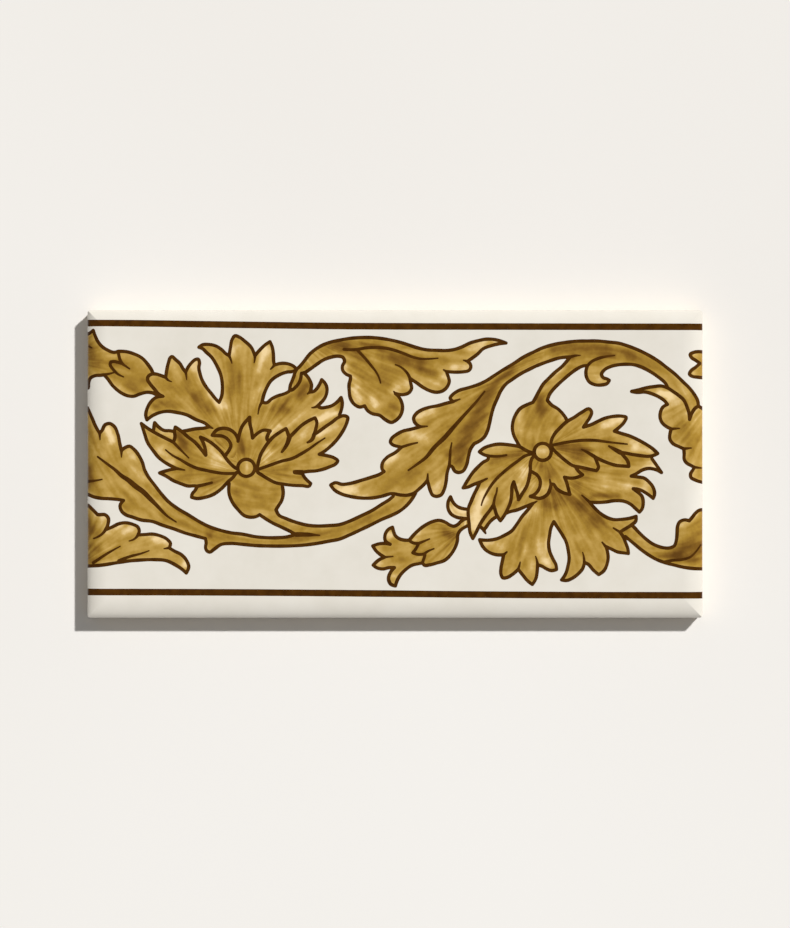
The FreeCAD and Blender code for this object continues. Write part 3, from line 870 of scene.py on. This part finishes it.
def face_normal(places, centroid):
    """Normals from the shoulder's own curve, on the side of the mitre where the triangle lies."""
    from_ends, from_sides = edge_distances(centroid[None])
    axis = 0 if from_ends[0] < from_sides[0] else 1
    span = LENGTH if axis == 0 else WIDTH
    outward = -1 if centroid[axis] < span / 2 else 1
    normals = []
    for spot in places:
        near = min(spot[axis], span - spot[axis])
        share = min(max(1 - near / SHOULDER_REACH, 0), STEEPEST_SHARE)
        steepness = SHOULDER_DROP / SHOULDER_REACH * share / math.sqrt(1 - share**2)
        normal = [0.0, 0.0, 1.0]
        normal[axis] = outward * steepness
        size = math.sqrt(1 + steepness**2)
        normals.append(tuple(value / size for value in normal))
    return normals


heights = height(face_corners)
numbers = {k: place(*face_corners[k], heights[k]) for k in np.unique(triangles)}
tones = np.full((len(triangles), 3), NO_TONE)
brushes = np.zeros((len(triangles), 3, 2))
for leaf in leaves:
    mine = np.nonzero(owner == leaf.number)[0]
    if not len(mine):
        continue
    used, which = np.unique(triangles[mine], return_inverse=True)
    tones[mine] = tone(leaf, face_corners[used])[which.reshape(-1, 3)]
    brushes[mine] = leaf.brush(face_corners[used])[which.reshape(-1, 3)]
for row, triangle in enumerate(triangles):
    spots = face_corners[triangle]
    add_face([numbers[k] for k in triangle], int(paint[row]), [map_at(MAP_FACE, *spot) for spot in spots],
             tones[row], brushes[row], face_normal(spots, centroids[row]))

# The rim of the face, in order, anticlockwise.
sides = dict.fromkeys((triangle[k], triangle[(k + 1) % 3]) for triangle in triangles for k in range(3))
after = {start: end for start, end in sides if (end, start) not in sides}
start = next(iter(after))
rim = [start]
while after[rim[-1]] != start:
    rim.append(after[rim[-1]])


def outward_at(x, y):
    """The level direction out of the tile at a place on its edge."""
    corner_x = min(max(x, CORNER_RADIUS), LENGTH - CORNER_RADIUS)
    corner_y = min(max(y, CORNER_RADIUS), WIDTH - CORNER_RADIUS)
    away = np.array([x - corner_x, y - corner_y])
    return away / np.linalg.norm(away)


def glaze_end(x, y):
    """The glaze stops in an uneven line down the sides."""
    end = GLAZE_END
    for pitch, seed, size in GLAZE_WANDERINGS:
        end += size * noise.noise(Vector((x * pitch, y * pitch, seed)))
    return end


rows = []
for number in rim:
    x, y = face_corners[number]
    outward = outward_at(x, y)
    end = glaze_end(x, y)
    steps = [(0, heights[number])]
    steps += [(inset, end + rise) for inset, rise in GLAZE_ROLL]
    steps += [(GLAZE_LIP, BACK_CHAMFER + FOOT_STEP), (GLAZE_LIP, BACK_CHAMFER - GLAZE_LIP)]
    steps += [(BACK_CHAMFER, 0)]
    column = [(x - outward[0] * inset, y - outward[1] * inset, level) for inset, level in steps]
    rows.append((column, outward))
for k, (column, outward) in enumerate(rows):
    next_column, next_outward = rows[(k + 1) % len(rows)]
    for level in range(len(column) - 1):
        quad = [column[level], column[level + 1], next_column[level + 1], next_column[level]]
        add_face([place(*spot) for spot in quad], GROUND if level < len(GLAZE_ROLL) else BISCUIT,
                 [side_map(*spot, outward + next_outward) for spot in quad])


def add_back(spots, level):
    """A flat face of the back. Its corners run anticlockwise as seen from above."""
    add_face([place(x, y, level) for x, y in spots[::-1]], BISCUIT,
             [map_at(MAP_BACK, x, y) for x, y in spots[::-1]])


# The back, with its rows of tapered pockets.
POCKET_CORNER_STEPS = 4
BACK_WELD = 1e-5
pitch_x = (LENGTH - 2 * KEY_RIM + KEY_RIB) / KEY_COLUMNS
pitch_y = (WIDTH - 2 * KEY_RIM + KEY_RIB) / KEY_ROWS
back_edge = np.array([column[-1][:2] for column, _ in rows])
back = Cutting()
back.draw(back_edge)
pockets = []
for column in range(KEY_COLUMNS):
    for row in range(KEY_ROWS):
        centre = (LENGTH / 2 + (column - (KEY_COLUMNS - 1) / 2) * pitch_x,
                  WIDTH / 2 + (row - (KEY_ROWS - 1) / 2) * pitch_y)
        mouth = rounded_rectangle(pitch_x - KEY_RIB, pitch_y - KEY_RIB, KEY_CORNER_RADIUS, centre,
                                  POCKET_CORNER_STEPS)
        bottom = rounded_rectangle(pitch_x - KEY_RIB - 2 * KEY_DRAFT, pitch_y - KEY_RIB - 2 * KEY_DRAFT,
                                   KEY_CORNER_RADIUS - KEY_DRAFT / 2, centre, POCKET_CORNER_STEPS)
        pockets.append((mouth, bottom))
        back.draw(mouth)
back_corners, triangles, centroids = back.cut(back_edge, BACK_WELD)
solid = np.ones(len(triangles), bool)
for mouth, _ in pockets:
    solid &= ~covered_by(Fill(mouth), centroids)
for triangle in triangles[solid]:
    add_back(back_corners[triangle], 0.0)
for mouth, bottom in pockets:
    for k in range(len(mouth)):
        j = (k + 1) % len(mouth)
        quad = [(*bottom[k], KEY_DEPTH), (*bottom[j], KEY_DEPTH), (*mouth[j], 0.0), (*mouth[k], 0.0)]
        add_face([place(*spot) for spot in quad], BISCUIT, [map_at(MAP_BACK, x, y) for x, y, _ in quad])
    add_back(bottom, KEY_DEPTH)

SHARP_ANGLE = math.radians(28)
mesh = bpy.data.meshes.new("glazed_tile")
mesh.from_pydata(positions, [], faces)
mesh.polygons.foreach_set("material_index", face_paint)
mesh.polygons.foreach_set("use_smooth", [True] * len(faces))
mesh.uv_layers.new(name="OFBake").data.foreach_set("uv", np.ravel(corner_map))
mesh.attributes.new("tone", "FLOAT", "CORNER").data.foreach_set("value", np.ravel(corner_tone))
brush_values = np.pad(np.array(corner_brush), ((0, 0), (0, 1)))
mesh.attributes.new("brush", "FLOAT_VECTOR", "CORNER").data.foreach_set("vector", brush_values.ravel())
mesh.set_sharp_from_angle(angle=SHARP_ANGLE)
mesh.normals_split_custom_set(corner_normal)
mesh.update()
tile = bpy.data.objects.new("glazed_tile", mesh)
bpy.context.scene.collection.objects.link(tile)


def srgb(red, green, blue):
    """A colour as a screen shows it, 0 to 255, for a shader."""
    values = [value / 255 for value in (red, green, blue)]
    return [value / 12.92 if value <= 0.04045 else ((value + 0.055) / 1.055) ** 2.4
            for value in values] + [1.0]


def fill(socket, value):
    """Links an output to a socket, or sets the socket to a value."""
    if isinstance(value, bpy.types.NodeSocket):
        value.id_data.links.new(value, socket)
    else:
        socket.default_value = value


class Finish:
    """A material and short ways to add nodes to it."""

    def __init__(self, name, roughness, specular=0.5):
        self.material = bpy.data.materials.new(name)
        self.material.use_nodes = True
        self.nodes = self.material.node_tree.nodes
        self.where = self.add("TexCoord").outputs["Object"]
        self.surface("Roughness", roughness)
        self.surface("Specular IOR Level", specular)

    def surface(self, name, value):
        fill(self.nodes["Principled BSDF"].inputs[name], value)

    def add(self, kind, inputs=None, **settings):
        """A new node with its settings, and with each input filled."""
        node = self.nodes.new("ShaderNode" + kind)
        for name, value in settings.items():
            setattr(node, name, value)
        for name, value in (inputs or {}).items():
            fill(node.inputs[name], value)
        return node

    def noise(self, scale, detail=3.0, roughness=0.5, source=None):
        inputs = {"Vector": source or self.where, "Scale": scale, "Detail": detail, "Roughness": roughness}
        return self.add("TexNoise", inputs).outputs["Fac"]

    def maths(self, kind, first, second, clamp=False):
        return self.add("Math", {0: first, 1: second}, operation=kind, use_clamp=clamp).outputs["Value"]

    def swing(self, source, size):
        """The source about zero, times a size."""
        return self.maths("MULTIPLY", self.maths("SUBTRACT", source, 0.5), size)

    def ramp(self, factor, stops):
        """The colour between the stops at the factor."""
        node = self.add("ValToRGB", {"Fac": factor})
        elements = node.color_ramp.elements
        while len(elements) < len(stops):
            elements.new(0.5)
        for element, (position, colour) in zip(elements, stops):
            element.position = position
            element.color = srgb(*colour)
        return node.outputs["Color"]

    def mix(self, factor, first, second):
        node = self.add("Mix", {"Factor": factor}, data_type="RGBA")
        for socket, value in zip([s for s in node.inputs if s.type == "RGBA"], (first, second)):
            fill(socket, value)
        return next(s for s in node.outputs if s.type == "RGBA")

    def bump(self, factor, strength, distance):
        node = self.add("Bump", {"Height": factor, "Strength": strength, "Distance": distance})
        self.surface("Normal", node.outputs["Normal"])


def glazed(name, specular=0.5):
    """A paint under the clear glaze: a glossy skin, very slightly uneven."""
    finish = Finish(name, roughness=0.13, specular=specular)
    patches = finish.noise(scale=260, detail=2)
    patchy = finish.add("MapRange", {"Value": patches, "To Min": 0.10, "To Max": 0.17})
    finish.surface("Roughness", patchy.outputs["Result"])
    finish.bump(finish.noise(scale=140, detail=2), strength=0.06, distance=0.0006)
    return finish


ground = glazed("glaze_ground")
ground.surface("Base Color", ground.ramp(ground.noise(scale=90, detail=4, roughness=0.6), [
    (0.25, (230, 224, 211)), (0.5, (235, 229, 217)), (0.8, (239, 234, 223))]))

# The ochre is as light as the leaf's tone, give or take its brush marks, its wash and its grain.
ochre = glazed("glaze_ochre", specular=0.3)
brush = ochre.add("Attribute", attribute_name="brush").outputs["Vector"]
brush = ochre.add("Mapping", {"Vector": brush, "Scale": (0.62, 0.11, 1.0)}).outputs["Vector"]
streaks = ochre.swing(ochre.noise(scale=1.0, detail=1.5, roughness=0.45, source=brush), size=0.68)
wash = ochre.swing(ochre.noise(scale=360, detail=3, roughness=0.55), size=0.40)
grain = ochre.swing(ochre.noise(scale=1300, detail=2), size=0.15)
unevenness = ochre.maths("ADD", streaks, ochre.maths("ADD", wash, grain))
leaf_tone = ochre.add("Attribute", attribute_name="tone").outputs["Fac"]
ochre.surface("Base Color", ochre.ramp(ochre.maths("ADD", leaf_tone, unevenness, clamp=True), [
    (0.0, (100, 65, 14)), (0.25, (134, 96, 30)), (0.5, (172, 134, 50)), (0.75, (203, 166, 88)),
    (1.0, (247, 217, 160))]))

line = glazed("glaze_line", specular=0.15)
line.surface("Base Color", line.ramp(line.noise(scale=500, detail=3), [
    (0.3, (64, 34, 0)), (0.7, (84, 50, 5))]))

biscuit = Finish("biscuit", roughness=0.85)
specks = biscuit.ramp(biscuit.noise(scale=1600, detail=2), [(0.60, (0, 0, 0)), (0.72, (160, 160, 160))])
clay = biscuit.ramp(biscuit.noise(scale=120, detail=4, roughness=0.6), [
    (0.3, (214, 197, 170)), (0.7, (226, 212, 189))])
biscuit.surface("Base Color", biscuit.mix(specks, clay, srgb(176, 150, 116)))
biscuit.bump(biscuit.noise(scale=1400, detail=3), strength=0.35, distance=0.0002)

for finish in (ground, ochre, line, biscuit):
    mesh.materials.append(finish.material)

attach(tile, "root")
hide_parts(NODE)

# The table, the light and the camera.
FLOOR_REACH = 3.0
floor_corners = [(x * FLOOR_REACH, y * FLOOR_REACH, 0) for x, y in ((-1, -1), (1, -1), (1, 1), (-1, 1))]
floor_mesh = bpy.data.meshes.new("floor")
floor_mesh.from_pydata(floor_corners, [], [(0, 1, 2, 3)])
floor = bpy.data.objects.new("floor", floor_mesh)
bpy.context.scene.collection.objects.link(floor)
paper = Finish("floor_paper", roughness=0.9, specular=0.0)
paper.surface("Base Color", paper.ramp(paper.noise(scale=3, detail=2), [
    (0.3, (241, 237, 231)), (0.7, (246, 243, 238))]))
floor_mesh.materials.append(paper.material)

SKY_STRENGTH = 0.23
scene = bpy.context.scene
scene.view_settings.view_transform = "Standard"
world = bpy.data.worlds.new("studio")
world.use_nodes = True
world.node_tree.nodes["Background"].inputs["Color"].default_value = (1.0, 1.0, 1.0, 1.0)
world.node_tree.nodes["Background"].inputs["Strength"].default_value = SKY_STRENGTH
scene.world = world

# The sun stands over the upper right corner. Its strength is what reaches a level floor.
SUN_ELEVATION = math.radians(50.5)
SUN_WIDTH = math.radians(3.0)
SUN_ON_FLOOR = 0.757
sun_data = bpy.data.lights.new("key", "SUN")
sun_data.energy = SUN_ON_FLOOR * math.pi / math.sin(SUN_ELEVATION)
sun_data.angle = SUN_WIDTH
sun = bpy.data.objects.new("key", sun_data)
level_part = math.cos(SUN_ELEVATION) * math.sqrt(0.5)
toward = Vector((level_part, level_part, math.sin(SUN_ELEVATION)))
sun.rotation_euler = toward.to_track_quat("Z", "Y").to_euler()
scene.collection.objects.link(sun)

# The camera looks straight down, from where the tile takes its share of the frame's width.
FRAME_PIXELS = (790, 928)
TILE_PIXELS = 616
LENS = 200.0
SENSOR = 36.0
view_height = LENGTH * MM * FRAME_PIXELS[1] / TILE_PIXELS
camera_data = bpy.data.cameras.new("camera")
camera_data.lens = LENS
camera_data.sensor_width = SENSOR
camera = bpy.data.objects.new("camera", camera_data)
camera.location = (0, 0, THICKNESS * MM + view_height * LENS / SENSOR)
scene.collection.objects.link(camera)
scene.camera = camera
